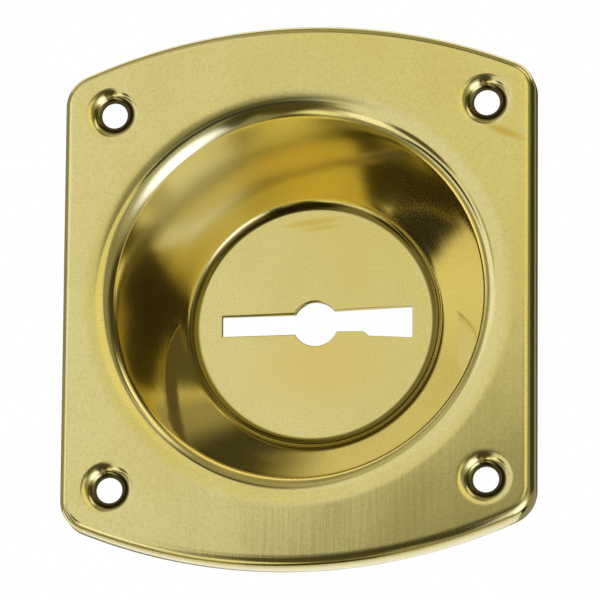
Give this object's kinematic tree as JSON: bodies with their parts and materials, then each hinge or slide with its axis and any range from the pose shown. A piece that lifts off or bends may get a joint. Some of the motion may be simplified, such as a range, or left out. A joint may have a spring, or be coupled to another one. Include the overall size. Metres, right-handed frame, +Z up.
{
  "type": "keyhole escutcheon",
  "caption": "Pressed brass escutcheon plate with arched ends, a turned edge, a deep round dish that takes the key, a slotted keyhole in its floor and dimpled screw holes at the corners.",
  "frame": {"origin": "on the axis of the dish, in the plane of the turned edge's rear, which is the door's face", "axes": "+Z up along the plate's length, +X to the right seen from the front, +Y into the door, so the front looks along -Y"},
  "size_m": [0.07, 0.0185, 0.082],
  "materials": {
    "brass": "polished sheet with a fine upright grain"
  },
  "bodies": {
    "root": {"escutcheon_plate": "brass"}
  },
  "joints": []
}
